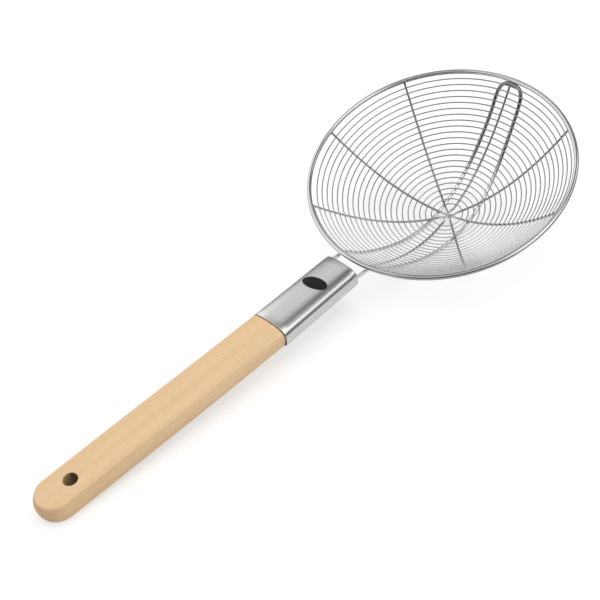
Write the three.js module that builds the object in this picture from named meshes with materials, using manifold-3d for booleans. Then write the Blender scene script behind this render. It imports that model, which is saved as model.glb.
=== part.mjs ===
// Wire skimmer with a wooden handle. A spiral of thin wire lies on four crossed rib wires inside a
// rim ring, a hairpin loop carries the bowl from below, and the loop's two legs run through a steel
// ferrule in grooves along the handle's tenon. Millimetres, +Z up. The skimmer lies on a table at
// z = 0, on the loop and on the tip of the handle, with the bowl towards +X.
import * as THREE from "three";
import { mergeVertices } from "three/addons/utils/BufferGeometryUtils.js";
import Module from "manifold-3d";

const wasm = await Module();
wasm.setup();

// Clearance between pieces that are welded, pressed or glued together.
const fitGap = 0.3;

// Bowl: its ribs follow a parabola that starts at the middle of the rim wire.
const bowlDiameter = 280;
const bowlDepth = 79;
const rimWire = 5;
const ribWire = 2.4;
const spiralWire = 1.3;

// Both ends of each rib, as angles from the far side of the bowl. The cross ribs end on the rim.
// The long rib lies along the handle, starts at the loop's arch and stops short of the rim.
const crossRibs = [
  [54, 229.5],
  [97.4, 277],
  [141, 322],
];
const longRib = [3, 186];
const longRibStop = 12;

// The rib wires are pressed flat and stacked where they cross.
const hubThickness = 1;
const hubWidth = 3;
const hubReach = 5;
const hubFade = 10;

// Spiral: it starts at the rim on the last cross rib and ends near the hub on the first one.
const spiralFullTurns = 22;
const spiralInnerRadius = 13.6;

// Hairpin loop under the bowl. It swings a little to one side below the hub.
const loopWire = 4.2;
const loopSpan = 37.6;
const loopSpreadRun = 48;
const loopArchRadius = 15;
const loopSwing = 6;
const loopSwingPlace = -30;
const loopSwingWave = 198;
const loopSeatAngle = 60;
const loopSeatRun = 18;
const loopKnee = 4;
const tangSpan = 36.4;
const tangDepth = 70;

// Grip: lengths along the handle's axis, from the loop's seat under the rim outwards. The ferrule
// leaves the axis a little: its mouth lies to one side by the bend.
const gripSlope = 14.8;
const gripBend = 3;
const ferruleStart = 16.4;
const ferruleLength = 103.4;
const ferruleWall = 1;
const ferruleMouthWidth = 43.6;
const ferruleButtWidth = 44.9;
const ferruleThickness = 24.3;
const ferrulePower = 3;
const tenonSetback = 3;
const handleLength = 268.6;
const handleShoulder = 0.8;
const handleSwell = 0.8;
const handleTipWidth = 38.8;
const handleFlatWidth = 33.6;
const handleThickness = 19.4;
const handleBlend = 80;
const holeDiameter = 12.6;
const holeToTip = 35.7;

// Bare oval label on the ferrule, turned a few degrees on its face.
const labelAlong = 13;
const labelAcross = 28.5;
const labelTurn = 8;
const labelThickness = 0.4;
const labelToMouth = 39.3;

// Facets.
const wireSides = 8;
const spiralSides = 6;
const spiralSteps = 24;
const rimSteps = 72;
const sectionSides = 40;
const ribSteps = 18;
const archSteps = 12;

const rimRadius = (bowlDiameter - rimWire) / 2;
const bowlBend = (2 * bowlDepth) / rimRadius ** 2;
const gripAngle = THREE.MathUtils.degToRad(gripSlope);
const rimSeat = (rimWire + loopWire) / 2 + fitGap;
const ferruleEnd = ferruleStart + ferruleLength;

const steel = { color: 0xc8cbce, metalness: 1, roughness: 0.22 };
const brushed = { color: 0xb4b6b8, metalness: 1, roughness: 0.38 };
const wood = { color: 0xe2bf92, metalness: 0, roughness: 0.62 };
const black = { color: 0x171717, metalness: 0, roughness: 0.5 };

function piece(name, geometry, finish) {
  const mesh = new THREE.Mesh(geometry, new THREE.MeshStandardMaterial(finish));
  mesh.name = name;
  return mesh;
}

// A closed surface over rings of points. Each ring runs counter-clockwise about the way the rings
// advance. A bored piece joins its last ring to its first, any other is capped at both ends.
function skin(rings, bored = false) {
  const count = rings[0].length;
  const vertices = rings.flat();
  const faces = [];
  const spans = bored ? rings.length : rings.length - 1;
  for (let i = 0; i < spans; i++) {
    const here = i * count;
    const next = ((i + 1) % rings.length) * count;
    for (let j = 0; j < count; j++) {
      const k = (j + 1) % count;
      faces.push(here + j, here + k, next + k, here + j, next + k, next + j);
    }
  }
  if (!bored) {
    const last = (rings.length - 1) * count;
    for (const [ring, start, flip] of [[rings[0], 0, true], [rings.at(-1), last, false]]) {
      const middle = ring.reduce((sum, p) => sum.add(p), new THREE.Vector3());
      const centre = vertices.push(middle.divideScalar(count)) - 1;
      for (let j = 0; j < count; j++) {
        const k = (j + 1) % count;
        faces.push(centre, start + (flip ? k : j), start + (flip ? j : k));
      }
    }
  }
  const geometry = new THREE.BufferGeometry().setFromPoints(vertices);
  geometry.setIndex(faces);
  geometry.computeVertexNormals();
  return geometry;
}

// A wire along a line of points. half(i) gives its half width and half height at point i.
function wire(points, half, sides) {
  const up = new THREE.Vector3(0, 0, 1);
  const rings = points.map((p, i) => {
    const before = points[Math.max(i - 1, 0)];
    const after = points[Math.min(i + 1, points.length - 1)];
    const along = new THREE.Vector3().subVectors(after, before).normalize();
    const across = new THREE.Vector3().crossVectors(up, along).normalize();
    const above = new THREE.Vector3().crossVectors(along, across);
    const [width, height] = half(i);
    return Array.from({ length: sides }, (_, j) => {
      const turn = ((j + 0.5) / sides) * 2 * Math.PI;
      return p
        .clone()
        .addScaledVector(across, width * Math.cos(turn))
        .addScaledVector(above, height * Math.sin(turn));
    });
  });
  return skin(rings);
}

// The bowl's parabola: height, slope and arc length at a radius, and the radius at an arc length.
function bowlHeight(r) {
  return (bowlBend / 2) * (r * r - rimRadius * rimRadius);
}

function bowlSlope(r) {
  return bowlBend * r;
}

function bowlArc(r) {
  const slope = bowlSlope(r);
  return (r * Math.hypot(1, slope) + Math.asinh(slope) / bowlBend) / 2;
}

function radiusAtArc(arc) {
  let r = arc;
  for (let i = 0; i < 12; i++) {
    r -= (bowlArc(r) - arc) / Math.hypot(1, bowlSlope(r));
  }
  return r;
}

// A point at a radius and an angle, set off square to the bowl: inwards when off is positive.
function bowlPoint(r, angle, off) {
  const slope = bowlSlope(r);
  const length = Math.hypot(1, slope);
  const reach = r - (off * slope) / length;
  const height = bowlHeight(r) + off / length;
  return new THREE.Vector3(reach * Math.cos(angle), reach * Math.sin(angle), height);
}

// Rim ring.
function rimRing() {
  return new THREE.TorusGeometry(rimRadius, rimWire / 2, wireSides, rimSteps);
}

// A rib wire from rim to rim through the hub. At the hub it is flat and lies at its own level.
function ribWireShape([farAngle, nearAngle], level, [farGap, nearGap]) {
  const farRadius = radiusAtArc(bowlArc(rimRadius) - farGap);
  const nearRadius = radiusAtArc(bowlArc(rimRadius) - nearGap);
  const levelStep = hubThickness + fitGap;
  const middleLevel = crossRibs.length / 2;
  const points = [];
  const halves = [];
  for (let i = -ribSteps; i <= ribSteps; i++) {
    const share = Math.abs(i) / ribSteps;
    const r = (i < 0 ? nearRadius : farRadius) * share ** 1.6;
    const angle = THREE.MathUtils.degToRad(i < 0 ? nearAngle : farAngle);
    const free = THREE.MathUtils.smoothstep(r, hubReach, hubFade);
    const point = bowlPoint(r, angle, 0);
    point.z += (level - middleLevel) * levelStep * (1 - free);
    points.push(point);
    halves.push([
      THREE.MathUtils.lerp(hubWidth, ribWire, free) / 2,
      THREE.MathUtils.lerp(hubThickness, ribWire, free) / 2,
    ]);
  }
  return wire(points, (i) => halves[i], wireSides);
}

// How far below the rim's middle the long rib's far end stops. It butts on the arch, which falls away
// where the rib lies to one side of the arch's middle.
function longRibGap() {
  const side = loopTop * Math.sin(THREE.MathUtils.degToRad(longRib[0]));
  const aside = Math.abs(side - archMiddle) + ribWire / 2;
  const fall = loopArchRadius - Math.sqrt(loopArchRadius ** 2 - aside ** 2);
  return rimSeat + loopWire / 2 + fall * Math.hypot(1, bowlSlope(rimRadius)) + fitGap;
}

// Spiral wire: equal steps along the bowl's arc from turn to turn.
function spiralPoints() {
  const outerAngle = crossRibs.at(-1)[0];
  const innerAngle = crossRibs[0][0];
  const turns = spiralFullTurns + THREE.MathUtils.euclideanModulo(innerAngle - outerAngle, 360) / 360;
  const innerArc = bowlArc(spiralInnerRadius);
  const seat = (ribWire + spiralWire) / 2 + fitGap;
  const rimReach = (rimWire + spiralWire) / 2 + fitGap;
  const outerArc = bowlArc(rimRadius) - Math.sqrt(Math.max(rimReach ** 2 - seat ** 2, 0));
  const steps = Math.round(turns * spiralSteps);
  return Array.from({ length: steps + 1 }, (_, i) => {
    const share = i / steps;
    const angle = THREE.MathUtils.degToRad(outerAngle) + share * turns * 2 * Math.PI;
    const arc = THREE.MathUtils.lerp(outerArc, innerArc, share);
    return bowlPoint(radiusAtArc(arc), angle, seat);
  });
}

// The least gap between one turn of the spiral and the next, measured on its points.
function leastSpiralGap(points) {
  let least = Infinity;
  for (let i = 0; i < points.length; i++) {
    for (let j = i + spiralSteps / 2; j < points.length; j++) {
      least = Math.min(least, points[i].distanceTo(points[j]));
    }
  }
  return least - spiralWire;
}

// The loop's height below the bowl at a plan radius. It rises to its seat on the rim near the end.
function underBowl(reach) {
  const off = (ribWire + loopWire) / 2 + fitGap;
  let r = reach;
  for (let i = 0; i < 12; i++) {
    const slope = bowlSlope(r);
    r = reach - (off * slope) / Math.hypot(1, slope);
  }
  return bowlHeight(r) - off / Math.hypot(1, bowlSlope(r));
}

const loopSeat = THREE.MathUtils.degToRad(loopSeatAngle);
const loopTop = rimRadius - rimSeat * Math.cos(loopSeat);
const loopRise = -rimSeat * Math.sin(loopSeat) - underBowl(loopTop);

function loopHeight(x, y) {
  const reach = Math.hypot(x, y);
  const rise = loopRise * THREE.MathUtils.smoothstep(reach, loopTop - loopSeatRun, loopTop);
  const below = underBowl(reach) + rise;
  if (x > 0) {
    return below;
  }
  const leg = -rimSeat - (x + rimRadius) * Math.tan(gripAngle);
  const near = Math.max(loopKnee - Math.abs(below - leg), 0) / loopKnee;
  return Math.min(below, leg) - (near * near * loopKnee) / 4;
}

// How far the legs have left the ferrule's mouth for the bowl, from 0 to 1.
function loopSpread(x) {
  const mouth = -rimRadius - ferruleStart;
  return THREE.MathUtils.smoothstep(x, mouth, mouth + loopSpreadRun);
}

// Sideways place of the loop's middle line: from the ferrule's mouth it swings over below the hub.
function loopMiddle(x) {
  if (x < loopSwingPlace) {
    const share = Math.min((loopSwingPlace - x) / (loopSwingPlace + rimRadius), 1);
    return gripBend * (1 - loopSpread(x)) - loopSwing * (1 - share * share) ** 2;
  }
  return -loopSwing * Math.cos((Math.PI * (x - loopSwingPlace)) / loopSwingWave);
}

const archCentre = loopTop - loopArchRadius;
const archMiddle = loopMiddle(archCentre);

// Half the space between the legs' middles: the tangs' at the ferrule, the loop's, then the arch's.
function loopHalf(x) {
  const half = THREE.MathUtils.lerp(tangSpan, loopSpan, loopSpread(x)) / 2;
  return THREE.MathUtils.lerp(half, loopArchRadius, THREE.MathUtils.smoothstep(x, 0, archCentre));
}

// Sideways place of the ferrule's middle line.
function gripSide(along) {
  return gripBend * Math.max((ferruleEnd - along) / ferruleLength, 0);
}

function gripPoint(along, across, above) {
  return new THREE.Vector3(
    -rimRadius - along * Math.cos(gripAngle) + above * Math.sin(gripAngle),
    gripSide(along) + across,
    -rimSeat + along * Math.sin(gripAngle) + above * Math.cos(gripAngle),
  );
}

// One leg's points from its tang to the start of the arch. side is 1 for +Y and -1 for -Y.
function legPoints(side) {
  const tang = gripPoint(ferruleStart + tenonSetback + tangDepth, (side * tangSpan) / 2, 0);
  const mouth = gripPoint(ferruleStart, (side * tangSpan) / 2, 0);
  const points = [tang, mouth];
  const bendEnd = -rimRadius + loopSeatRun;
  const places = [];
  for (let i = 1; i <= 12; i++) {
    places.push(THREE.MathUtils.lerp(mouth.x, bendEnd, i / 12));
  }
  for (let i = 1; i <= 20; i++) {
    places.push(THREE.MathUtils.lerp(bendEnd, archCentre, i / 20));
  }
  for (const x of places) {
    const y = loopMiddle(x) + side * loopHalf(x);
    points.push(new THREE.Vector3(x, y, loopHeight(x, y)));
  }
  return points;
}

function supportLoop() {
  const arch = [];
  for (let i = 1; i < archSteps; i++) {
    const turn = Math.PI * (0.5 - i / archSteps);
    const x = archCentre + loopArchRadius * Math.cos(turn);
    const y = archMiddle + loopArchRadius * Math.sin(turn);
    arch.push(new THREE.Vector3(x, y, loopHeight(x, y)));
  }
  const points = [...legPoints(1), ...arch, ...legPoints(-1).reverse()];
  return wire(points, () => [loopWire / 2, loopWire / 2], wireSides);
}

// Grip pieces lie in their own frame: the axis along X with the bowl towards +X, Z up.
// The ferrule's flat oval section at a distance along the axis, drawn in by inset.
function ferruleHalf(along) {
  const share = (along - ferruleStart) / ferruleLength;
  return THREE.MathUtils.lerp(ferruleMouthWidth, ferruleButtWidth, share) / 2;
}

function ferruleRing(along, inset) {
  const half = ferruleHalf(along) - inset;
  const thick = ferruleThickness / 2 - inset;
  const bend = (value) => Math.sign(value) * Math.abs(value) ** (2 / ferrulePower);
  return Array.from({ length: sectionSides }, (_, j) => {
    const turn = (j / sectionSides) * 2 * Math.PI;
    const across = gripSide(along) - half * bend(Math.cos(turn));
    return new THREE.Vector3(-along, across, thick * bend(Math.sin(turn)));
  });
}

function ferrule() {
  const rings = [
    ferruleRing(ferruleStart, 0),
    ferruleRing(ferruleEnd, 0),
    ferruleRing(ferruleEnd, ferruleWall),
    ferruleRing(ferruleStart, ferruleWall),
  ];
  return skin(rings, true);
}

// The handle's own section: a slab with flat top and bottom, crisp edges and bulged sides.
function slabRing(along, half, flatHalf) {
  const corner = Math.SQRT1_2;
  return Array.from({ length: sectionSides }, (_, j) => {
    const turn = (j / sectionSides) * 2 * Math.PI;
    const side = Math.cos(turn) / corner;
    const height = Math.sin(turn) / corner;
    if (Math.abs(height) >= 1) {
      return new THREE.Vector3(-along, -side * flatHalf, (Math.sign(height) * handleThickness) / 2);
    }
    const width = flatHalf + (half - flatHalf) * (1 - height * height);
    return new THREE.Vector3(-along, -Math.sign(side) * width, (height * handleThickness) / 2);
  });
}

const handleStart = ferruleEnd + fitGap;
const handleEnd = handleStart + handleLength;
const tipCentre = handleEnd - handleTipWidth / 2;

// Stations along the handle: the ferrule's section at the shoulder turns into the slab's.
function handleRings() {
  const blendSteps = 10;
  const taperSteps = 4;
  const places = [];
  for (let i = 0; i <= blendSteps; i++) {
    places.push(handleStart + (handleBlend * i) / blendSteps);
  }
  for (let i = 1; i <= taperSteps; i++) {
    places.push(THREE.MathUtils.lerp(handleStart + handleBlend, tipCentre, i / taperSteps));
  }
  return places.map((along) => {
    const taper = (along - handleStart) / (tipCentre - handleStart);
    const swell = handleSwell * Math.sin(Math.PI * taper);
    const half = THREE.MathUtils.lerp(ferruleButtWidth, handleTipWidth, taper) / 2 + swell;
    const share = THREE.MathUtils.smoothstep(along, handleStart, handleStart + handleBlend);
    const round = ferruleRing(ferruleEnd, handleShoulder);
    const slab = slabRing(along, half, handleFlatWidth / 2 + swell);
    return round.map((p, j) => p.setX(-along).lerp(slab[j], share));
  });
}

function solid(geometry) {
  const bare = geometry.clone();
  bare.deleteAttribute("normal");
  bare.deleteAttribute("uv");
  const merged = mergeVertices(bare, 1e-4);
  const vertProperties = merged.attributes.position.array;
  const triVerts = new Uint32Array(merged.index.array);
  return new wasm.Manifold(new wasm.Mesh({ numProp: 3, vertProperties, triVerts }));
}

function geometryOf(manifold) {
  const mesh = manifold.getMesh();
  const geometry = new THREE.BufferGeometry();
  geometry.setAttribute("position", new THREE.BufferAttribute(mesh.vertProperties, 3));
  geometry.setIndex(new THREE.BufferAttribute(mesh.triVerts, 1));
  geometry.computeVertexNormals();
  return geometry;
}

// A groove for one tang along the tenon: round at its bottom and open at the tenon's side.
function groove(from, to, side, width) {
  const open = Math.max(ferruleMouthWidth, ferruleButtWidth) / 2;
  const bendSteps = sectionSides / 4;
  const section = [[open, -width / 2], [open, width / 2]];
  for (let i = 0; i <= bendSteps; i++) {
    const turn = Math.PI * (0.5 + i / bendSteps);
    section.push([(tangSpan + width * Math.cos(turn)) / 2, (width * Math.sin(turn)) / 2]);
  }
  const ring = (along) =>
    section.map(([y, z]) => new THREE.Vector3(-along, gripSide(along) + side * y, z));
  return skin(side > 0 ? [ring(to), ring(from)] : [ring(from), ring(to)]);
}

function handle() {
  const inset = ferruleWall + fitGap;
  const tenon = [ferruleRing(ferruleStart + tenonSetback, inset), ferruleRing(ferruleEnd, inset)];
  tenon.push(tenon[1].map((p) => p.clone().setX(-handleStart)));
  const body = solid(skin([...tenon, ...handleRings()]));
  const quarter = sectionSides / 4;
  const profile = slabRing(0, handleTipWidth / 2, handleFlatWidth / 2)
    .slice(quarter, 3 * quarter + 1)
    .reverse()
    .map((p) => new THREE.Vector2(Math.max(p.y, 0), p.z));
  const tip = new THREE.LatheGeometry(profile, sectionSides)
    .rotateX(Math.PI / 2)
    .translate(-tipCentre, 0, 0);
  const holeRadius = holeDiameter / 2;
  const hole = new THREE.CylinderGeometry(holeRadius, holeRadius, 2 * handleThickness, sectionSides);
  hole.rotateX(Math.PI / 2).translate(holeToTip - handleEnd, 0, 0);
  const grooveWidth = loopWire + 2 * fitGap;
  const mouth = ferruleStart;
  const bottom = ferruleStart + tenonSetback + tangDepth + fitGap;
  let whole = body.add(solid(tip)).subtract(solid(hole));
  for (const side of [-1, 1]) {
    whole = whole.subtract(solid(groove(mouth, bottom, side, grooveWidth)));
  }
  return geometryOf(whole);
}

// A thin oval that follows the ferrule's crown.
function ovalLabel() {
  const place = ferruleStart + labelToMouth;
  const askew = THREE.MathUtils.degToRad(labelTurn);
  const ringSteps = [0.25, 0.5, 0.75, 1];
  const layer = (share, lift) =>
    Array.from({ length: sectionSides }, (_, j) => {
      const turn = (j / sectionSides) * 2 * Math.PI;
      const long = (share * labelAlong * Math.cos(turn)) / 2;
      const wide = (share * labelAcross * Math.sin(turn)) / 2;
      const along = place - long * Math.cos(askew) + wide * Math.sin(askew);
      const across = wide * Math.cos(askew) + long * Math.sin(askew);
      const fall = Math.abs(across / ferruleHalf(along)) ** ferrulePower;
      const crown = (ferruleThickness / 2) * (1 - fall) ** (1 / ferrulePower);
      return new THREE.Vector3(-along, gripSide(along) + across, crown + lift);
    });
  const under = ringSteps.map((share) => layer(share, fitGap));
  const over = ringSteps.map((share) => layer(share, fitGap + labelThickness)).reverse();
  return skin([...under, ...over]);
}

const skimmer = new THREE.Group();
skimmer.add(piece("rim_ring", rimRing(), steel));
const loop = piece("support_loop", supportLoop(), steel);
skimmer.add(loop);
const longRibGaps = [longRibGap(), longRibStop];
skimmer.add(piece("rib_wire_long", ribWireShape(longRib, crossRibs.length, longRibGaps), steel));
crossRibs.forEach((ends, i) => {
  const level = crossRibs.length - 1 - i;
  const endGap = rimWire / 2 + fitGap;
  skimmer.add(piece(`rib_wire_cross_${i + 1}`, ribWireShape(ends, level, [endGap, endGap]), steel));
});
const coil = spiralPoints();
const spiralHalf = spiralWire / 2;
skimmer.add(piece("spiral_wire", wire(coil, () => [spiralHalf, spiralHalf], spiralSides), steel));
console.log(`least gap between turns of the spiral: ${leastSpiralGap(coil).toFixed(2)} mm`);

const grip = new THREE.Group();
grip.position.set(-rimRadius, 0, -rimSeat);
grip.rotation.y = gripAngle;
const stick = piece("handle", handle(), wood);
grip.add(stick);
grip.add(piece("ferrule", ferrule(), brushed));
grip.add(piece("oval_label", ovalLabel(), black));
skimmer.add(grip);

// The tilt at which the loop and the handle's tip both touch the table.
function lowest(mesh, tilt) {
  const place = mesh.geometry.getAttribute("position");
  const point = new THREE.Vector3();
  let least = Infinity;
  for (let i = 0; i < place.count; i++) {
    point.fromBufferAttribute(place, i).applyMatrix4(mesh.matrixWorld);
    least = Math.min(least, point.x * Math.sin(tilt) + point.z * Math.cos(tilt));
  }
  return least;
}

function restTilt() {
  skimmer.updateMatrixWorld(true);
  let level = 0;
  let steep = Math.PI / 3;
  for (let i = 0; i < 40; i++) {
    const tilt = (level + steep) / 2;
    if (lowest(loop, tilt) < lowest(stick, tilt)) {
      level = tilt;
    } else {
      steep = tilt;
    }
  }
  return level;
}

const object = new THREE.Group();
skimmer.rotation.y = -restTilt();
object.add(skimmer);
object.updateMatrixWorld(true);
const box = new THREE.Box3().setFromObject(object, true);
const middle = box.getCenter(new THREE.Vector3());
skimmer.position.set(-middle.x, -middle.y, -box.min.z);

export default object;
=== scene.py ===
from math import asinh, atan2, cos, hypot, pi, radians, sin, sqrt, tan

import bmesh
import bpy
from mathutils import Matrix, Vector


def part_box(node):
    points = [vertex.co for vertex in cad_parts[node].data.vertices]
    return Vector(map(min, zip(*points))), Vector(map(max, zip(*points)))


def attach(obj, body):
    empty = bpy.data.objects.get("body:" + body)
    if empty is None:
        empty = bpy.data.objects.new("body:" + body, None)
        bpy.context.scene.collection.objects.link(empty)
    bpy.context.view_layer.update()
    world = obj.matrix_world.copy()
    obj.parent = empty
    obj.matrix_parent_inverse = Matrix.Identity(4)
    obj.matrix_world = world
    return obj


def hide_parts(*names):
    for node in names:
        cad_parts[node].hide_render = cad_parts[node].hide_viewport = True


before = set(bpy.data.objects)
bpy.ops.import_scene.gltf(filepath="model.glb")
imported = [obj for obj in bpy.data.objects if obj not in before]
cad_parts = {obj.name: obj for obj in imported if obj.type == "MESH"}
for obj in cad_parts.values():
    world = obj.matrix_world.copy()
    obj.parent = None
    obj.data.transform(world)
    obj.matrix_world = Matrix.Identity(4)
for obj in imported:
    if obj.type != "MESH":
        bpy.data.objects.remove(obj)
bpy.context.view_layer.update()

scene = bpy.context.scene
print("skimmer: frame loaded with", len(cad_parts), "nodes")

# Sizes are in millimetres. The bowl's frame lies in the rim's plane with +X to the far side, the
# grip's frame runs along the handle's axis, and both put a piece where the solids have it.
rest = {"tilt": 18.8639, "gripSlope": 14.8, "rimRadius": 137.5, "rimSeat": 4.9, "mouth": 16.4,
        "joint": 119.8, "bend": 3.0}

rimLow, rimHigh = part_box("rim_ring")
rimMiddle = (Vector(rimLow) + Vector(rimHigh)) / 2
bowlFrame = (Matrix.Translation(rimMiddle) @ Matrix.Rotation(radians(-rest["tilt"]), 4, "Y")
             @ Matrix.Scale(0.001, 4))
gripFrame = (bowlFrame @ Matrix.Translation((-rest["rimRadius"], 0, -rest["rimSeat"]))
             @ Matrix.Rotation(radians(rest["gripSlope"]), 4, "Y"))


def blendTo(a, b, share):
    return a + (b - a) * share


def gripSide(along):
    # the ferrule's mouth lies a little to one side of the handle's axis
    return rest["bend"] * max((rest["joint"] - along) / (rest["joint"] - rest["mouth"]), 0)


def easeIn(value, low, high):
    share = min(max((value - low) / (high - low), 0), 1)
    return share * share * (3 - 2 * share)


# finishes

class Feed:
    # one socket of a finish; sums on it are written as plain expressions
    def __init__(self, tree, socket=None):
        self.tree = tree
        self.socket = socket

    def node(self, kind, settings=None, links=None, out=0):
        made = self.tree.nodes.new(kind)
        for name, value in (settings or {}).items():
            setattr(made, name, value)
        for name, value in (links or {}).items():
            if isinstance(value, Feed):
                self.tree.links.new(value.socket, made.inputs[name])
            else:
                made.inputs[name].default_value = value
        return Feed(self.tree, made.outputs[out] if made.outputs else None)

    def out(self, name):
        return Feed(self.tree, self.socket.node.outputs[name])

    def sum(self, operation, other, turned=False):
        first, second = (other, self) if turned else (self, other)
        return self.node("ShaderNodeMath", {"operation": operation}, {0: first, 1: second})

    def __add__(self, other):
        return self.sum("ADD", other)

    def __radd__(self, other):
        return self.sum("ADD", other)

    def __sub__(self, other):
        return self.sum("SUBTRACT", other)

    def __rsub__(self, other):
        return self.sum("SUBTRACT", other, True)

    def __mul__(self, other):
        return self.sum("MULTIPLY", other)

    def __rmul__(self, other):
        return self.sum("MULTIPLY", other)

    def __truediv__(self, other):
        return self.sum("DIVIDE", other)

    def __pow__(self, other):
        return self.sum("POWER", other)

    def ease(self, low, high):
        return self.node("ShaderNodeMapRange", {"interpolation_type": "SMOOTHSTEP"},
                         {"Value": self, "From Min": low, "From Max": high})

    def least(self, other):
        return self.sum("MINIMUM", other)

    def most(self, other):
        return self.sum("MAXIMUM", other)

    def size(self):
        return self.node("ShaderNodeMath", {"operation": "ABSOLUTE"}, {0: self})

    def reach(self, other):
        return (self * self + other * other) ** 0.5

    def tint(self, first, second):
        return self.node("ShaderNodeMix", {"data_type": "RGBA"}, {0: self, 6: first, 7: second}, 2)

    def stretched(self, scale):
        return self.node("ShaderNodeVectorMath", {"operation": "MULTIPLY"}, {0: self, 1: scale})

    def noise(self, scale, detail=2.0, rough=0.5):
        return self.node("ShaderNodeTexNoise", {"normalize": True},
                         {"Vector": self, "Scale": scale, "Detail": detail, "Roughness": rough})

    def grain(self, stretch, detail, rough=0.5):
        return self.stretched(stretch).noise(1.0, detail, rough)

    def parts(self):
        split = self.node("ShaderNodeSeparateXYZ", links={"Vector": self})
        return split, split.out("Y"), split.out("Z")


def inFrame(feed, place):
    # Object coordinates turned into a frame's own millimetres
    back = place.inverted()
    spots = feed.node("ShaderNodeTexCoord", out="Object")
    return feed.node("ShaderNodeMapping", {"vector_type": "POINT"}, {
        "Vector": spots, "Location": back.to_translation(), "Rotation": back.to_euler(),
        "Scale": back.to_scale()})


def startFinish(name):
    finish = bpy.data.materials.new(name)
    finish.use_nodes = True
    finish.node_tree.nodes.clear()
    return finish, Feed(finish.node_tree)


def endFinish(feed, links):
    shader = feed.node("ShaderNodeBsdfPrincipled", links=links)
    feed.node("ShaderNodeOutputMaterial", links={"Surface": shader})


wireLook = {
    "weld": (0.70, 0.70, 0.695, 1), "hub": (6.0, 15.0), "hubWear": 0.8,
    "streaks": (0.35, 3.0), "wear": (0.55, 0.8), "wearShare": 0.15,
    "roughness": 0.10, "wornRough": 0.16, "specks": 2.2, "speckRough": 0.05,
    "colours": {  # the thin wires are drawn further and stay greyer
        "drawn_steel": (0.64, 0.645, 0.65, 1),
        # the loop's pale tone is partly painted light, lifting the loop where the bowl's wires above
        # dim its reflections
        "loop_steel": (0.86, 0.865, 0.87, 1),
        "rib_steel": (0.64, 0.645, 0.65, 1),
        "fine_steel": (0.70, 0.705, 0.71, 1)},
    # painted shade: each wire's colour darkens towards one side of the bowl, and the rim's towards both
    # ends of a line across it, where its reflections run dark
    "paintedShade": {  # tone, its heading, where along it the change starts and ends, on both sides or one
        "drawn_steel": ((0.38, 0.385, 0.39, 1), 45.0, 120.0, 134.0, True),
        "loop_steel": ((0.27, 0.275, 0.28, 1), 0.0, 25.0, 85.0, False),
        "rib_steel": ((0.31, 0.315, 0.32, 1), -15.0, -95.0, -30.0, False),
        "fine_steel": ((0.35, 0.355, 0.36, 1), 36.0, -90.0, 90.0, False)}}


def makeWireFinish(name):
    finish, feed = startFinish(name)
    spots = inFrame(feed, bowlFrame)
    x, y = spots.parts()[:2]
    streaks = spots.noise(*wireLook["streaks"])
    hub = 1 - x.reach(y).ease(*wireLook["hub"])  # rubbed bright where it is pressed flat
    worn = hub * wireLook["hubWear"] + streaks.ease(*wireLook["wear"]) * wireLook["wearShare"]
    bright = wireLook["colours"][name]
    if name in wireLook["paintedShade"]:
        tone, heading, start, end, both = wireLook["paintedShade"][name]
        # painted shade: the steel's colour darkens across the bowl along the given heading
        away = x * cos(radians(heading)) + y * sin(radians(heading))
        bright = (away.size() if both else away).ease(start, end).tint(bright, tone)
    endFinish(feed, {
        "Base Color": worn.tint(bright, wireLook["weld"]),
        "Metallic": 1.0,
        "Roughness": (wireLook["roughness"] + worn * wireLook["wornRough"]
                      + spots.noise(wireLook["specks"]) * wireLook["speckRough"])})
    return finish


ferruleLook = {
    "colour": (0.69, 0.69, 0.68, 1), "dull": (0.60, 0.60, 0.59, 1), "contrast": (0.3, 0.7),
    "lines": ((0.035, 4.2, 4.2), 4.0, 0.6), "lineShare": 0.55, "broad": ((0.012, 0.5, 0.5), 2.0),
    "smudge": (0.06, 3.0), "roughness": 0.19, "lineRough": 0.1, "smudgeRough": 0.06,
    "bump": 0.18, "bumpDepth": 0.00002}


def makeFerruleFinish():
    finish, feed = startFinish("brushed_sheath")
    spots = inFrame(feed, gripFrame)
    look = ferruleLook
    lines = spots.grain(*look["lines"])
    broad = spots.grain(*look["broad"])
    smudge = spots.noise(*look["smudge"])
    shade = lines * look["lineShare"] + broad * (1 - look["lineShare"])
    bump = feed.node("ShaderNodeBump", links={
        "Strength": look["bump"], "Distance": look["bumpDepth"], "Height": lines})
    endFinish(feed, {
        "Base Color": shade.ease(*look["contrast"]).tint(look["colour"], look["dull"]),
        "Metallic": 1.0,
        "Roughness": look["roughness"] + lines * look["lineRough"] + smudge * look["smudgeRough"],
        "Normal": bump})
    return finish


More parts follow.
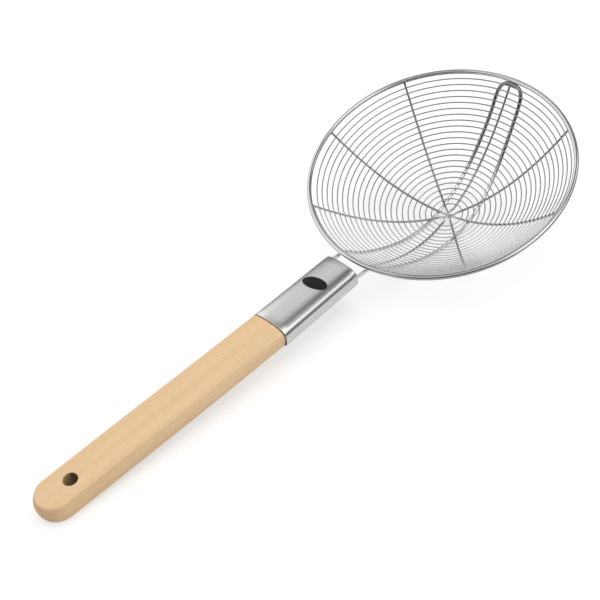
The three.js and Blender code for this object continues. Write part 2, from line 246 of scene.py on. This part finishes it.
woodLook = {
    "pale": (0.85, 0.605, 0.36, 1), "warm": (0.78, 0.52, 0.288, 1), "fleck": (0.55, 0.33, 0.17, 1),
    # the dark tone serves the dark joint line and painted shade
    "grimeAndShade": (0.07, 0.034, 0.014, 1), "roughness": 0.52, "fibreRough": 0.12, "fleckRough": 0.1,
    "bump": 0.25, "bumpDepth": 0.00006, "fleckSink": 0.6,
    # stretch, detail and roughness of each grain, and where in it the tone changes
    "growth": ((0.004, 0.10, 0.13), 3.0, 0.55), "growthTone": (0.3, 0.72), "growthShare": 0.65,
    "fibre": ((0.03, 1.7, 1.7), 3.0, 0.6), "fibreTone": (0.3, 0.75), "fibreShare": 0.35,
    "rays": ((0.42, 3.4, 3.4), 1.0), "rayTone": (0.58, 0.74), "rayShare": 0.65,
    "pores": ((0.22, 5.5, 5.5), 0.0), "poreTone": (0.64, 0.80), "poreShare": 0.6,
    # end grain round the tip
    "tipPlace": -369.3, "tipRun": (2.0, 18.0), "tipEdge": (16.6, 18.0), "tipTone": (0.35, 0.65),
    "tipDark": 0.42, "tipFibre": 0.35,
    # dark places: the dark joint line, and painted shade in the hanging hole, inside the ferrule's
    # mouth and in the gap at the joint's lower corner
    "holePlace": -353.0, "holeEdge": (6.3, 7.2), "holeDark": 0.92, "holeLit": 0.74,
    "litRun": (-1.0, 8.0), "joint": -120.0, "jointRun": (0.2, 1.1), "jointDark": 0.9,
    "cornerRun": (1.2, 2.6), "cornerSide": (-20.5, -17.0), "cornerHeight": (-4.0, 2.0),
    "mouth": (-27.0, -24.0), "mouthDark": 0.7}


def makeWoodFinish():
    finish, feed = startFinish("bare_beech")
    look = woodLook
    spots = inFrame(feed, gripFrame)
    x, y, z = spots.parts()
    growth = spots.grain(*look["growth"])
    fibre = spots.grain(*look["fibre"])
    rays = spots.grain(*look["rays"])
    pores = spots.grain(*look["pores"])
    fleck = (rays.ease(*look["rayTone"]) * look["rayShare"]
             + pores.ease(*look["poreTone"]) * look["poreShare"])
    tone = (growth.ease(*look["growthTone"]) * look["growthShare"]
            + fibre.ease(*look["fibreTone"]) * look["fibreShare"])
    plain = tone.tint(look["pale"], look["warm"])

    fromTip = look["tipPlace"] - x
    atEdge = fromTip.reach(y).ease(*look["tipEdge"])
    endGrain = (fromTip.ease(*look["tipRun"]) * atEdge
                * (look["tipDark"] + fibre.ease(*look["tipTone"]) * look["tipFibre"]))
    flecked = fleck.most(endGrain).tint(plain, look["fleck"])

    fromHole = x - look["holePlace"]
    # painted shade inside the hanging hole, with a painted lit wall on one side
    inHole = 1 - fromHole.reach(y).ease(*look["holeEdge"])
    lit = (y - fromHole).ease(*look["litRun"])  # light falls into the hole from one side
    fromJoint = (x - look["joint"]).size()
    atJoint = 1 - fromJoint.ease(*look["jointRun"])
    # painted shade in the gap at the joint's lower corner on one side
    corner = ((1 - fromJoint.ease(*look["cornerRun"])) * (1 - y.ease(*look["cornerSide"]))
              * (1 - z.ease(*look["cornerHeight"])))
    # the tenon's end inside the ferrule's mouth: darker end grain, deepened with painted shade
    inMouth = x.ease(*look["mouth"])
    # dark joint line, and painted shade in the hole, the corner and the mouth
    grimeAndShadeMask = (inHole * (look["holeDark"] - lit * look["holeLit"])).most(atJoint * look["jointDark"])
    grimeAndShadeMask = grimeAndShadeMask.most(corner).most(inMouth * look["mouthDark"])
    bump = feed.node("ShaderNodeBump", links={
        "Strength": look["bump"], "Distance": look["bumpDepth"],
        "Height": fibre - fleck * look["fleckSink"]})
    endFinish(feed, {
        "Base Color": grimeAndShadeMask.tint(flecked, look["grimeAndShade"]),
        "Roughness": look["roughness"] + fibre * look["fibreRough"] + fleck * look["fleckRough"],
        "Normal": bump})
    return finish


labelLook = {
    "ink": (0.007, 0.007, 0.008, 1), "scuff": (0.03, 0.03, 0.031, 1), "wear": (0.9, 4.0),
    "wearTone": (0.5, 0.8), "wearShare": 0.5, "gloss": 0.2, "roughness": 0.45, "wornRough": 0.2}


def makeLabelFinish():
    finish, feed = startFinish("black_oval")
    look = labelLook
    worn = inFrame(feed, gripFrame).noise(*look["wear"]).ease(*look["wearTone"])
    endFinish(feed, {
        "Base Color": (worn * look["wearShare"]).tint(look["ink"], look["scuff"]),
        "Specular IOR Level": look["gloss"],
        "Roughness": look["roughness"] + worn * look["wornRough"]})
    return finish


# putting a piece in place

def settle(name, mesh, place, finish, nodes, sharp=40):
    mesh.transform(place)
    mesh.shade_smooth()
    mesh.set_sharp_from_angle(angle=radians(sharp))
    mesh.materials.clear()
    mesh.materials.append(finish)
    made = bpy.data.objects.new(name, mesh)
    scene.collection.objects.link(made)
    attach(made, "root")
    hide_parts(*nodes)
    print("skimmer:", name, len(mesh.polygons), "faces")
    return made


def toMesh(name, bm):
    mesh = bpy.data.meshes.new(name)
    bm.to_mesh(mesh)
    bm.free()
    return mesh


def drawWire(name, points, wire, sides, radii=None):
    # a round wire along a line of points, made a mesh
    line = bpy.data.curves.new(name, "CURVE")
    line.dimensions = "3D"
    line.twist_mode = "Z_UP"
    line.bevel_depth = wire / 2
    line.bevel_resolution = sides // 2 - 2
    line.use_fill_caps = True
    run = line.splines.new("POLY")
    run.points.add(len(points) - 1)
    for i, (spot, point) in enumerate(zip(run.points, points)):
        spot.co = (*point, 1)
        spot.radius = radii[i] if radii else 1.0
    holder = bpy.data.objects.new(name + "_line", line)
    mesh = bpy.data.meshes.new_from_object(holder)
    mesh.name = name
    bpy.data.objects.remove(holder)
    bpy.data.curves.remove(line)
    return mesh


# rim

rim = {"wire": 5.0, "sides": 24, "steps": 256}


def makeRim(finish):
    bm = bmesh.new()
    bmesh.ops.create_circle(bm, segments=rim["sides"], radius=rim["wire"] / 2)
    bmesh.ops.rotate(bm, verts=bm.verts, matrix=Matrix.Rotation(pi / 2, 3, "X"))
    bmesh.ops.translate(bm, verts=bm.verts, vec=(rest["rimRadius"], 0, 0))
    bmesh.ops.spin(bm, geom=bm.verts[:] + bm.edges[:], axis=(0, 0, 1), angle=2 * pi,
                   steps=rim["steps"], use_merge=True)
    bmesh.ops.remove_doubles(bm, verts=bm.verts, dist=0.001)
    bmesh.ops.recalc_face_normals(bm, faces=bm.faces)
    settle("rim", toMesh("rim", bm), bowlFrame, finish, ["rim_ring"])


# bowl

bowl = {"depth": 79.0, "tries": 12}
bend = 2 * bowl["depth"] / rest["rimRadius"] ** 2


def bowlHeight(r):
    return bend / 2 * (r * r - rest["rimRadius"] ** 2)


def bowlArc(r):
    slope = bend * r
    return (r * hypot(1, slope) + asinh(slope) / bend) / 2


def radiusAtArc(arc):
    r = arc
    for _ in range(bowl["tries"]):
        r -= (bowlArc(r) - arc) / hypot(1, bend * r)
    return r


def bowlPoint(r, angle, off):
    slope = bend * r
    length = hypot(1, slope)
    reach = r - off * slope / length
    return Vector((reach * cos(angle), reach * sin(angle), bowlHeight(r) + off / length))


# ribs

ribs = {
    "wire": 2.4, "sides": 16, "steps": 90, "off": -0.4, "endGap": 1.9, "flare": 1.35, "flareRun": 2.2,
    "hubThick": 1.35, "hubWide": 3.0, "hubReach": 5.0, "hubFade": 10.0, "levelStep": 1.3,
    "lines": {  # far end, near end, level at the hub, gaps at both ends
        "rib_wire_long": (3.0, 186.0, 3, (4.2, 12.0)),
        "rib_wire_cross_1": (54.0, 229.5, 2, None),
        "rib_wire_cross_2": (97.4, 277.0, 1, None),
        "rib_wire_cross_3": (141.0, 322.0, 0, None)}}


def makeRib(node, finish):
    far, near, level, gaps = ribs["lines"][node]
    farGap, nearGap = gaps or (ribs["endGap"], ribs["endGap"])
    steps = ribs["steps"]
    points = []
    radii = []
    for i in range(-steps, steps + 1):
        endArc = bowlArc(rest["rimRadius"]) - (nearGap if i < 0 else farGap)
        arc = endArc * abs(i) / steps
        angle = radians(near if i < 0 else far)
        points.append(bowlPoint(radiusAtArc(arc), angle, ribs["off"]))
        weld = easeIn(arc, endArc - ribs["flareRun"], endArc)
        radii.append(1 + (ribs["flare"] - 1) * weld)
    mesh = drawWire(node, points, ribs["wire"], ribs["sides"], radii)
    lift = (level - (len(ribs["lines"]) - 1) / 2) * ribs["levelStep"]
    for v in mesh.vertices:  # pressed flat and stacked at the hub
        reach = hypot(v.co.x, v.co.y)
        pressed = 1 - easeIn(reach, ribs["hubReach"], ribs["hubFade"])
        if pressed > 0:
            away = v.co.x * cos(radians(far)) + v.co.y * sin(radians(far))
            angle = radians(far if away > 0 else near)
            side = Vector((-sin(angle), cos(angle), 0))
            wide = blendTo(1, ribs["hubWide"] / ribs["wire"], pressed)
            thick = blendTo(1, ribs["hubThick"] / ribs["wire"], pressed)
            middle = bowlPoint(min(reach, ribs["hubFade"]), 0, ribs["off"]).z
            v.co += side * (side.dot(v.co) * (wide - 1))
            v.co.z = middle + lift * pressed + (v.co.z - middle) * thick
    name = node.replace("_wire", "")
    settle(name, mesh, bowlFrame, finish, [node])


# spiral

spiral = {"wire": 1.4, "sides": 10, "stepsPerTurn": 96, "turns": 22 + 273 / 360, "outerAngle": 141.0,
          "outerGap": 2.9, "innerRadius": 13.6, "off": 1.3, "clip": (0.45, 0.8)}


def makeSpiral(finish):
    outerArc = bowlArc(rest["rimRadius"]) - spiral["outerGap"]
    innerArc = bowlArc(spiral["innerRadius"])
    steps = round(spiral["turns"] * spiral["stepsPerTurn"])
    points = []
    for i in range(steps + 1):
        share = i / steps
        angle = radians(spiral["outerAngle"]) + share * spiral["turns"] * 2 * pi
        points.append(bowlPoint(radiusAtArc(blendTo(outerArc, innerArc, share)), angle, spiral["off"]))
    radii = [1.0] * len(points)
    for i, share in enumerate(spiral["clip"]):  # clipped ends, a little rounded
        radii[i] = share
        radii[-1 - i] = share
    mesh = drawWire("spiral", points, spiral["wire"], spiral["sides"], radii)
    settle("spiral", mesh, bowlFrame, finish, ["spiral_wire"])


# support loop

loop = {"wire": 4.2, "sides": 20, "span": 37.6, "spreadRun": 48.0, "archRadius": 15.0, "archPower": 2.9,
        "archSteps": 36, "legSteps": 140, "swing": 6.0, "swingPlace": -30.0, "swingWave": 198.0,
        "seatAngle": 60.0, "seatRun": 18.0, "knee": 4.0, "tangSpan": 36.4, "tangEnd": 89.4,
        "tangSteps": 6, "off": 3.6, "lift": 0.15}
loopTop = rest["rimRadius"] - rest["rimSeat"] * cos(radians(loop["seatAngle"]))
archCentre = loopTop - loop["archRadius"]


def underBowl(reach):
    r = reach
    for _ in range(bowl["tries"]):
        slope = bend * r
        r = reach - loop["off"] * slope / hypot(1, slope)
    return bowlHeight(r) - loop["off"] / hypot(1, bend * r)


def loopHeight(x, y):
    reach = hypot(x, y)
    rise = -rest["rimSeat"] * sin(radians(loop["seatAngle"])) - underBowl(loopTop)
    below = underBowl(reach) + rise * easeIn(reach, loopTop - loop["seatRun"], loopTop)
    if x > 0:
        return below
    leg = -rest["rimSeat"] - (x + rest["rimRadius"]) * tan(radians(rest["gripSlope"]))
    near = max(loop["knee"] - abs(below - leg), 0) / loop["knee"]
    return min(below, leg) - near * near * loop["knee"] / 4


def loopSpread(x):
    mouth = -rest["rimRadius"] - rest["mouth"]
    return easeIn(x, mouth, mouth + loop["spreadRun"])


def loopMiddle(x):
    start = loop["swingPlace"]
    if x < start:
        share = min((start - x) / (start + rest["rimRadius"]), 1)
        return rest["bend"] * (1 - loopSpread(x)) - loop["swing"] * (1 - share * share) ** 2
    return -loop["swing"] * cos(pi * (x - start) / loop["swingWave"])


def loopHalf(x):
    half = blendTo(loop["tangSpan"], loop["span"], loopSpread(x)) / 2
    return blendTo(half, loop["archRadius"], easeIn(x, 0, archCentre))


def gripPoint(along, across, above):
    slope = radians(rest["gripSlope"])
    return Vector((-rest["rimRadius"] - along * cos(slope) + above * sin(slope),
                   gripSide(along) + across,
                   -rest["rimSeat"] + along * sin(slope) + above * cos(slope)))


def legPoints(side):
    across = side * loop["tangSpan"] / 2
    steps = loop["tangSteps"]
    points = [gripPoint(blendTo(loop["tangEnd"], rest["mouth"], i / steps), across, 0)
              for i in range(steps + 1)]
    start = points[-1].x
    for i in range(1, loop["legSteps"] + 1):
        x = blendTo(start, archCentre, i / loop["legSteps"])
        y = loopMiddle(x) + side * loopHalf(x)
        points.append(Vector((x, y, loopHeight(x, y))))
    return points


def makeLoop(finish):
    middle = loopMiddle(archCentre)
    arch = []
    for i in range(1, loop["archSteps"]):
        turn = pi * (0.5 - i / loop["archSteps"])
        square = abs(cos(turn)) ** loop["archPower"] + abs(sin(turn)) ** loop["archPower"]
        reach = loop["archRadius"] / square ** (1 / loop["archPower"])
        x = archCentre + reach * cos(turn)
        y = middle + reach * sin(turn)
        arch.append(Vector((x, y, loopHeight(x, y))))
    points = legPoints(1) + arch + legPoints(-1)[::-1]
    up = Vector((sin(radians(rest["tilt"])), 0, cos(radians(rest["tilt"])))) * loop["lift"]
    mesh = drawWire("loop", [point + up for point in points], loop["wire"], loop["sides"])
    settle("loop", mesh, bowlFrame, finish, ["support_loop"])


# ferrule

sheath = {"start": 16.4, "length": 103.4, "wall": 1.0, "mouthWidth": 43.6, "buttWidth": 44.9,
          "thickness": 24.3, "power": 3.0, "sides": 160, "spans": 12, "edge": 0.42, "edgeSteps": 3,
          "lipAngle": 60, "sharp": 50}
sheathEnd = sheath["start"] + sheath["length"]


def sheathHalf(along):
    share = (along - sheath["start"]) / sheath["length"]
    return blendTo(sheath["mouthWidth"], sheath["buttWidth"], share) / 2


def roundPoint(along, turn, half, thick):
    def drawn(value):
        return (1 if value >= 0 else -1) * abs(value) ** (2 / sheath["power"])
    return Vector((-along, gripSide(along) - half * drawn(cos(turn)), thick * drawn(sin(turn))))


def startRing(bm, sides):
    # a ring whose points remember how far round they lie
    turnOf = bm.verts.layers.float.new("turn")
    made = bmesh.ops.create_circle(bm, segments=sides, radius=1.0)["verts"]
    for v in made:
        v[turnOf] = atan2(v.co.y, v.co.x)
    return made, turnOf


def pullRing(bm, edges):
    made = bmesh.ops.extrude_edge_only(bm, edges=edges)["geom"]
    return ([g for g in made if isinstance(g, bmesh.types.BMVert)],
            [g for g in made if isinstance(g, bmesh.types.BMEdge) and g.is_boundary])


def makeFerrule(finish):
    bm = bmesh.new()
    ring, turnOf = startRing(bm, sheath["sides"])
    edges = bm.edges[:]
    for i in range(sheath["spans"] + 1):
        along = sheath["start"] + sheath["length"] * i / sheath["spans"]
        if i:
            ring, edges = pullRing(bm, edges)
        for v in ring:
            v.co = roundPoint(along, v[turnOf], sheathHalf(along), sheath["thickness"] / 2)
    bmesh.ops.recalc_face_normals(bm, faces=bm.faces)
    bmesh.ops.solidify(bm, geom=bm.faces[:], thickness=sheath["wall"])
    lips = [e for e in bm.edges if e.is_manifold and e.calc_face_angle() > radians(sheath["lipAngle"])]
    bmesh.ops.bevel(bm, geom=lips, offset=sheath["edge"], segments=sheath["edgeSteps"], profile=0.5,
                    affect="EDGES", material=-1, clamp_overlap=True)
    settle("sheath", toMesh("sheath", bm), gripFrame, finish, ["ferrule"], sheath["sharp"])


# handle

stick = {"start": 120.1, "length": 268.6, "tipWidth": 38.8, "flatWidth": 33.6, "thickness": 19.4,
         "blend": 80.0, "blendSteps": 40, "runSteps": 24, "tipSteps": 56, "sides": 160, "sharp": 35,
         "edgeTurn": 4.5, "edgeSamples": 4, "tenonSetback": 3.0, "tenonChamfer": 0.8, "inset": 0.8,
         "lean": 0.55, "swell": 0.8, "edge": 0.5, "edgeRun": 0.3, "edgeSteps": 4, "holeWidth": 12.6,
         "holeToTip": 35.7, "holeRound": 0.9, "holeSides": 72, "holeSteps": 5, "holeOver": 2.0}
stickEnd = stick["start"] + stick["length"]
tipCentre = stickEnd - stick["tipWidth"] / 2


def slabPoint(along, turn, half, flat):
    side = cos(turn) * sqrt(2)
    height = sin(turn) * sqrt(2)
    thick = stick["thickness"] / 2
    if abs(height) >= 1:
        return Vector((-along, -side * flat, thick if height > 0 else -thick))
    width = flat + (half - flat) * (1 - height * height)
    return Vector((-along, -width if side > 0 else width, height * thick))


def slabRounded(along, turn, half, flat):
    # the corners are eased by an even mean over a little turn to both sides
    spread = radians(stick["edgeTurn"])
    count = stick["edgeSamples"]
    spots = [slabPoint(along, turn + spread * k / count, half, flat) for k in range(-count, count + 1)]
    return sum(spots, Vector()) / len(spots)


def stickPoint(along, turn):
    taper = min((along - stick["start"]) / (tipCentre - stick["start"]), 1)
    swell = stick["swell"] * sin(pi * taper)
    half = blendTo(sheath["buttWidth"], stick["tipWidth"], taper) / 2 + swell
    share = easeIn(along, stick["start"], stick["start"] + stick["blend"])
    inset = stick["inset"]
    butt = roundPoint(along, turn, sheath["buttWidth"] / 2 - inset, sheath["thickness"] / 2 - inset)
    butt.y += stick["lean"]
    return butt.lerp(slabRounded(along, turn, half, stick["flatWidth"] / 2 + swell), share)


def makeHandle(finish):
    bm = bmesh.new()
    ring, turnOf = startRing(bm, stick["sides"])
    edges = bm.edges[:]
    tenonStart = sheath["start"] + stick["tenonSetback"]
    wall = sheath["wall"]
    chamfer = stick["tenonChamfer"]
    blendEnd = stick["start"] + stick["blend"]
    stations = [(tenonStart, wall + chamfer), (tenonStart + chamfer, wall), (sheathEnd, wall)]
    for i in range(stick["edgeSteps"] + 1):  # shoulder against the ferrule's end, with a rounded edge
        turn = pi / 2 * i / stick["edgeSteps"]
        stations.append((stick["start"] + stick["edgeRun"] * (1 - cos(turn)),
                         stick["edge"] * (1 - sin(turn))))
    for i in range(1, stick["blendSteps"] + 1):
        share = i / stick["blendSteps"]
        stations.append((blendTo(stick["start"] + stick["edgeRun"], blendEnd, share), 0))
    for i in range(1, stick["runSteps"] + 1):
        stations.append((blendTo(blendEnd, tipCentre, i / stick["runSteps"]), 0))
    for i, (along, inset) in enumerate(stations):
        if i:
            ring, edges = pullRing(bm, edges)
        for v in ring:
            if along <= sheathEnd:
                half = sheathHalf(along) - inset
                v.co = roundPoint(along, v[turnOf], half, sheath["thickness"] / 2 - inset)
            else:
                v.co = stickPoint(along, v[turnOf])
                reach = hypot(v.co.y, v.co.z)
                v.co.y *= 1 - inset / reach
                v.co.z *= 1 - inset / reach
        if i == 0:
            bmesh.ops.contextual_create(bm, geom=edges)  # end grain of the tenon
    profile = [e for e in edges if all(v.co.y > -0.001 for v in e.verts)]
    geom = profile + list({v for e in profile for v in e.verts})
    bmesh.ops.spin(bm, geom=geom, cent=(-tipCentre, 0, 0), axis=(0, 0, 1), angle=pi,
                   steps=stick["tipSteps"])
    bmesh.ops.remove_doubles(bm, verts=bm.verts, dist=0.002)
    bmesh.ops.recalc_face_normals(bm, faces=bm.faces)
    boreHole(settle("grip", toMesh("grip", bm), gripFrame, finish, ["handle"], stick["sharp"]))


def boreHole(piece):
    # the hanging hole, rounded over where it meets the flats
    bm = bmesh.new()
    ring, turnOf = startRing(bm, stick["holeSides"])
    edges = bm.edges[:]
    bmesh.ops.contextual_create(bm, geom=edges)
    easing = stick["holeRound"]
    thick = stick["thickness"] / 2
    levels = [(-thick - stick["holeOver"], easing), (-thick, easing)]
    for i in range(1, stick["holeSteps"] + 1):
        turn = pi / 2 * i / stick["holeSteps"]
        levels.append((-thick + easing * (1 - cos(turn)), easing * (1 - sin(turn))))
    levels += [(-height, extra) for height, extra in reversed(levels)]
    for i, (height, extra) in enumerate(levels):
        if i:
            ring, edges = pullRing(bm, edges)
        for v in ring:
            reach = stick["holeWidth"] / 2 + extra
            v.co = Vector((stick["holeToTip"] - stickEnd + reach * cos(v[turnOf]),
                           reach * sin(v[turnOf]), height))
    bmesh.ops.contextual_create(bm, geom=edges)
    bmesh.ops.recalc_face_normals(bm, faces=bm.faces)
    mesh = toMesh("drill", bm)
    mesh.transform(gripFrame)
    drill = bpy.data.objects.new("drill", mesh)
    scene.collection.objects.link(drill)
    cut = piece.modifiers.new("hole", "BOOLEAN")
    cut.operation = "DIFFERENCE"
    cut.solver = "EXACT"
    cut.object = drill
    bpy.context.view_layer.update()
    whole = bpy.data.meshes.new_from_object(piece.evaluated_get(bpy.context.evaluated_depsgraph_get()))
    piece.modifiers.remove(cut)
    bpy.data.objects.remove(drill)
    bpy.data.meshes.remove(mesh)
    old = piece.data
    piece.data = whole
    bpy.data.meshes.remove(old)
    whole.name = "grip"
    whole.shade_smooth()
    whole.set_sharp_from_angle(angle=radians(stick["sharp"]))
    even = piece.modifiers.new("even", "WEIGHTED_NORMAL")
    even.keep_sharp = True
    print("skimmer: hole bored,", len(whole.polygons), "faces")


# oval label

oval = {"place": 55.0, "side": 0.5, "along": 15.2, "across": 27.0, "turn": 12.6, "under": 0.05,
        "thick": 0.3, "rings": 10, "sides": 96}


def makeOval(finish):
    bm = bmesh.new()
    spoke = [bm.verts.new((i / oval["rings"], 0, 0)) for i in range(oval["rings"] + 1)]
    edges = [bm.edges.new(pair) for pair in zip(spoke, spoke[1:])]
    bmesh.ops.spin(bm, geom=spoke + edges, axis=(0, 0, 1), angle=2 * pi, steps=oval["sides"],
                   use_merge=True)
    bmesh.ops.remove_doubles(bm, verts=bm.verts, dist=0.0001)
    askew = radians(oval["turn"])
    for v in bm.verts:
        length = v.co.x * oval["along"] / 2
        width = v.co.y * oval["across"] / 2
        along = oval["place"] - length * cos(askew) + width * sin(askew)
        across = oval["side"] + width * cos(askew) + length * sin(askew)
        fall = abs(across / sheathHalf(along)) ** sheath["power"]
        crown = sheath["thickness"] / 2 * (1 - fall) ** (1 / sheath["power"])
        v.co = Vector((-along, gripSide(along) + across, crown - oval["under"]))
    bmesh.ops.recalc_face_normals(bm, faces=bm.faces)
    if sum(f.normal.z for f in bm.faces) < 0:
        bmesh.ops.reverse_faces(bm, faces=bm.faces)
    lifted = bmesh.ops.extrude_face_region(bm, geom=bm.faces[:])["geom"]
    top = [g for g in lifted if isinstance(g, bmesh.types.BMVert)]
    bmesh.ops.translate(bm, verts=top, vec=(0, 0, oval["thick"]))
    bmesh.ops.recalc_face_normals(bm, faces=bm.faces)
    settle("oval", toMesh("oval", bm), gripFrame, finish, ["oval_label"])


# studio

studio = {
    "place": (-0.529342, -0.518844, 0.690193), "aim": (0.016136, 0.031792, 0.0), "roll": -1.85,
    "lens": 61.409, "sensor": 36.0, "floorHalf": 4.0, "floorShade": 0.55, "floorGlow": 0.53,
    "floorMirror": 0.40, "floorBounce": 0.8, "floorFade": (0.6, 1.1), "room": 0.62,
    "lamps": {  # place, width, height, power
        "key": ((0.00, 0.25, 2.00), 2.7, 2.3, 20.5),
        "strip": ((1.30, -1.25, 1.25), 1.2, 0.5, 4.0)}}

# What the steel mirrors: a dim tent round the table, dark near the ground, with soft pale panels
# and two dark boards in it.
tent = {
    "radius": 1.6, "segments": 64, "dim": 0.32, "low": 0.05, "rise": (0.05, 0.50),
    "panels": {  # heading and height in degrees, half width and half height as slopes, blur, level
        "left": (108.0, 34.0, 0.90, 0.46, 0.16, 1.30),
        "over": (46.0, 49.0, 0.32, 0.22, 0.20, 1.05),
        "right": (-62.0, 56.0, 0.70, 0.28, 0.10, 1.9),
        "top": (-55.0, 70.0, 0.25, 0.22, 0.10, 1.7),
        "above": (-140.0, 78.0, 0.70, 0.36, 0.14, 1.35)},
    "boards": {  # the same, with how much they take away
        "far": (-6.0, 60.0, 0.34, 0.16, 0.12, 0.90),
        "near": (-142.0, 5.0, 0.70, 0.30, 0.20, 0.66)}}


def makeCamera():
    eye = bpy.data.cameras.new("eye")
    eye.lens = studio["lens"]
    eye.sensor_width = studio["sensor"]
    eye.clip_end = 100
    holder = bpy.data.objects.new("eye", eye)
    place = Vector(studio["place"])
    turned = (Vector(studio["aim"]) - place).to_track_quat("-Z", "Y").to_matrix()
    turned = turned @ Matrix.Rotation(radians(studio["roll"]), 3, "Z")
    holder.matrix_world = Matrix.Translation(place) @ turned.to_4x4()
    scene.collection.objects.link(holder)
    scene.camera = holder


def sightLines(feed):
    # the camera's rays, and those together with mirrored and clear ones
    path = feed.node("ShaderNodeLightPath")
    return path, (path + path.out("Is Glossy Ray") + path.out("Is Transmission Ray")).least(1.0)


def makeFloor():
    bm = bmesh.new()
    bmesh.ops.create_grid(bm, x_segments=1, y_segments=1, size=studio["floorHalf"])
    floor = bpy.data.objects.new("floor", toMesh("floor", bm))
    scene.collection.objects.link(floor)
    finish, feed = startFinish("pale_floor")
    path, shown = sightLines(feed)
    shade = studio["floorShade"]
    seen = feed.node("ShaderNodeAddShader", links={
        0: feed.node("ShaderNodeBsdfDiffuse", links={"Color": (shade, shade, shade, 1)}),
        1: feed.node("ShaderNodeEmission", links={"Strength": path * studio["floorGlow"]
                     + path.out("Is Glossy Ray") * studio["floorMirror"]})})
    bounce = studio["floorBounce"]
    plain = feed.node("ShaderNodeBsdfDiffuse", links={"Color": (bounce, bounce, bounce, 1)})
    both = feed.node("ShaderNodeMixShader", links={0: shown, 1: plain, 2: seen})
    x, y = feed.node("ShaderNodeTexCoord", out="Object").parts()[:2]
    away = x.reach(y).ease(*studio["floorFade"])  # plain white far from the object
    white = feed.node("ShaderNodeEmission", links={"Strength": 1.0})
    whole = feed.node("ShaderNodeMixShader", links={0: path * away, 1: both, 2: white})
    feed.node("ShaderNodeOutputMaterial", links={"Surface": whole})
    floor.data.materials.append(finish)


def makeRoom():
    room = bpy.data.worlds.new("soft_room")
    room.use_nodes = True
    room.node_tree.nodes.clear()
    feed = Feed(room.node_tree)
    _, shown = sightLines(feed)
    glow = shown + (1 - shown) * studio["room"]
    back = feed.node("ShaderNodeBackground", links={"Color": (1, 1, 1, 1), "Strength": glow})
    feed.node("ShaderNodeOutputWorld", links={"Surface": back})
    scene.world = room


def makeTent():
    bm = bmesh.new()
    bmesh.ops.create_uvsphere(bm, u_segments=tent["segments"], v_segments=tent["segments"] // 2,
                              radius=tent["radius"])
    bmesh.ops.reverse_faces(bm, faces=bm.faces)
    cover = bpy.data.objects.new("tent", toMesh("tent", bm))
    scene.collection.objects.link(cover)
    finish, feed = startFinish("tent_cloth")
    spots = feed.node("ShaderNodeTexCoord", out="Object")

    def along(axis):
        return feed.node("ShaderNodeVectorMath", {"operation": "DOT_PRODUCT"}, {0: spots, 1: axis},
                         "Value")

    def patch(heading, height, wide, tall, blur):
        flat, rise = radians(heading), radians(height)
        ahead = Vector((cos(flat) * cos(rise), sin(flat) * cos(rise), sin(rise)))
        aside = Vector((-sin(flat), cos(flat), 0))
        front = along(ahead).most(0.001)
        across = (along(aside) / front).size().ease(wide - blur, wide + blur)
        upward = (along(ahead.cross(aside)) / front).size().ease(tall - blur, tall + blur)
        return (1 - across) * (1 - upward)

    up = along(Vector((0, 0, 1 / tent["radius"]))).ease(*tent["rise"])
    glow = tent["low"] + up * (tent["dim"] - tent["low"])
    for *shape, level in tent["panels"].values():
        glow = (patch(*shape) * level).most(glow)
    for *shape, depth in tent["boards"].values():
        glow = glow * (1 - patch(*shape) * depth)
    cloth = feed.node("ShaderNodeEmission", links={"Strength": glow})
    feed.node("ShaderNodeOutputMaterial", links={"Surface": cloth})
    finish.cycles.emission_sampling = "NONE"
    cover.data.materials.append(finish)
    for kind in ("camera", "diffuse", "transmission", "volume_scatter", "shadow"):
        setattr(cover, "visible_" + kind, False)


def makeLamps():
    for name, (place, width, height, power) in studio["lamps"].items():
        lamp = bpy.data.lights.new(name, "AREA")
        lamp.shape = "RECTANGLE"
        lamp.size = width
        lamp.size_y = height
        lamp.energy = power
        holder = bpy.data.objects.new(name, lamp)
        holder.visible_camera = False
        holder.visible_glossy = False
        place = Vector(place)
        holder.matrix_world = (Matrix.Translation(place)
                               @ (-place).to_track_quat("-Z", "Y").to_matrix().to_4x4())
        scene.collection.objects.link(holder)


makeCamera()
makeFloor()
makeRoom()
makeTent()
makeLamps()
scene.view_settings.view_transform = "Standard"
print("skimmer: studio ready")

thickWire = makeWireFinish("drawn_steel")
ribWire = makeWireFinish("rib_steel")
makeRim(thickWire)
for node in ribs["lines"]:
    makeRib(node, ribWire)
makeSpiral(makeWireFinish("fine_steel"))
makeLoop(makeWireFinish("loop_steel"))
makeFerrule(makeFerruleFinish())
makeHandle(makeWoodFinish())
makeOval(makeLabelFinish())

bpy.context.view_layer.update()
